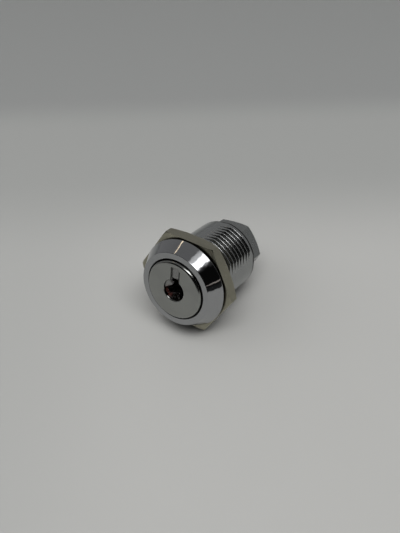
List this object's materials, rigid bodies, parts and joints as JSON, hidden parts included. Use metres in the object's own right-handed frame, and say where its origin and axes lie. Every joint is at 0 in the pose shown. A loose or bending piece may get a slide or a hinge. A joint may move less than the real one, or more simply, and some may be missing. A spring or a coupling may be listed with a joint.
{
  "type": "vending machine lock",
  "caption": "Round key cam lock with a bevelled bezel, threaded shank, hex panel nut and a turning plug whose threaded tail carries a hex nut.",
  "frame": {"origin": "centre of the bezel's flat back face, on the lock's axis, where the bezel lies on the panel", "axes": "+Y along the lock's axis towards its tail, -Y out of the key hole, +Z along the key slot"},
  "size_m": [0.0254, 0.0281, 0.0222],
  "materials": {
    "body": "bright chrome on a die casting, smooth",
    "plug_cap": "fine satin metal",
    "mounting_nut": "dull nickel with a warm cast",
    "cam_nut": "zinc plated",
    "lock_washer": "zinc plated",
    "stop_washer": "plain steel",
    "retaining_ring": "dark spring steel",
    "keyway_guard": "hardened steel",
    "plug_core": "plated die casting",
    "guard_pins": "hardened steel",
    "seal_ring": "black rubber",
    "wafer": "stamped brass",
    "wafer_spring": "bright spring wire"
  },
  "bodies": {
    "body": {"body": "body"},
    "plug": {"plug_core": "plug_core", "plug_cap": "plug_cap", "keyway_guard": "keyway_guard", "guard_pins": "guard_pins", "seal_ring": "seal_ring", "stop_washer": "stop_washer", "retaining_ring": "retaining_ring", "lock_washer": "lock_washer", "cam_nut": "cam_nut", "wafer_spring_1": "wafer_spring", "wafer_spring_2": "wafer_spring", "wafer_spring_3": "wafer_spring", "wafer_spring_4": "wafer_spring", "wafer_spring_5": "wafer_spring", "wafer_spring_6": "wafer_spring", "wafer_spring_7": "wafer_spring", "wafer_spring_8": "wafer_spring", "wafer_spring_9": "wafer_spring"},
    "mounting_nut": {"mounting_nut": "mounting_nut"},
    "wafer_1": {"wafer_1": "wafer"},
    "wafer_2": {"wafer_2": "wafer"},
    "wafer_3": {"wafer_3": "wafer"},
    "wafer_4": {"wafer_4": "wafer"},
    "wafer_5": {"wafer_5": "wafer"},
    "wafer_6": {"wafer_6": "wafer"},
    "wafer_7": {"wafer_7": "wafer"},
    "wafer_8": {"wafer_8": "wafer"},
    "wafer_9": {"wafer_9": "wafer"}
  },
  "joints": [
    {"name": "plug_turn", "type": "hinge", "parent": "body", "child": "plug", "pos_m": [0, 0, 0], "axis": [0, 1, 0], "range_deg": [0, 90]},
    {"name": "mounting_nut_slide", "type": "slide", "parent": "body", "child": "mounting_nut", "axis": [0, 1, 0], "range_m": [-0.0003, 0.024]},
    {"name": "wafer_1_slide", "type": "slide", "parent": "plug", "child": "wafer_1", "axis": [0, 0, -1], "range_m": [0, 0.0007], "stiffness_N_per_m": 200, "deforming": ["wafer_spring_1"]},
    {"name": "wafer_2_slide", "type": "slide", "parent": "plug", "child": "wafer_2", "axis": [-0.866, 0, 0.5], "range_m": [0, 0.0007], "stiffness_N_per_m": 200, "deforming": ["wafer_spring_2"]},
    {"name": "wafer_3_slide", "type": "slide", "parent": "plug", "child": "wafer_3", "axis": [0.866, 0, 0.5], "range_m": [0, 0.0007], "stiffness_N_per_m": 200, "deforming": ["wafer_spring_3"]},
    {"name": "wafer_4_slide", "type": "slide", "parent": "plug", "child": "wafer_4", "axis": [0, 0, -1], "range_m": [0, 0.0007], "stiffness_N_per_m": 200, "deforming": ["wafer_spring_4"]},
    {"name": "wafer_5_slide", "type": "slide", "parent": "plug", "child": "wafer_5", "axis": [-0.866, 0, 0.5], "range_m": [0, 0.0007], "stiffness_N_per_m": 200, "deforming": ["wafer_spring_5"]},
    {"name": "wafer_6_slide", "type": "slide", "parent": "plug", "child": "wafer_6", "axis": [0.866, 0, 0.5], "range_m": [0, 0.0007], "stiffness_N_per_m": 200, "deforming": ["wafer_spring_6"]},
    {"name": "wafer_7_slide", "type": "slide", "parent": "plug", "child": "wafer_7", "axis": [0, 0, -1], "range_m": [0, 0.0007], "stiffness_N_per_m": 200, "deforming": ["wafer_spring_7"]},
    {"name": "wafer_8_slide", "type": "slide", "parent": "plug", "child": "wafer_8", "axis": [-0.866, 0, 0.5], "range_m": [0, 0.0007], "stiffness_N_per_m": 200, "deforming": ["wafer_spring_8"]},
    {"name": "wafer_9_slide", "type": "slide", "parent": "plug", "child": "wafer_9", "axis": [0.866, 0, 0.5], "range_m": [0, 0.0007], "stiffness_N_per_m": 200, "deforming": ["wafer_spring_9"]}
  ]
}
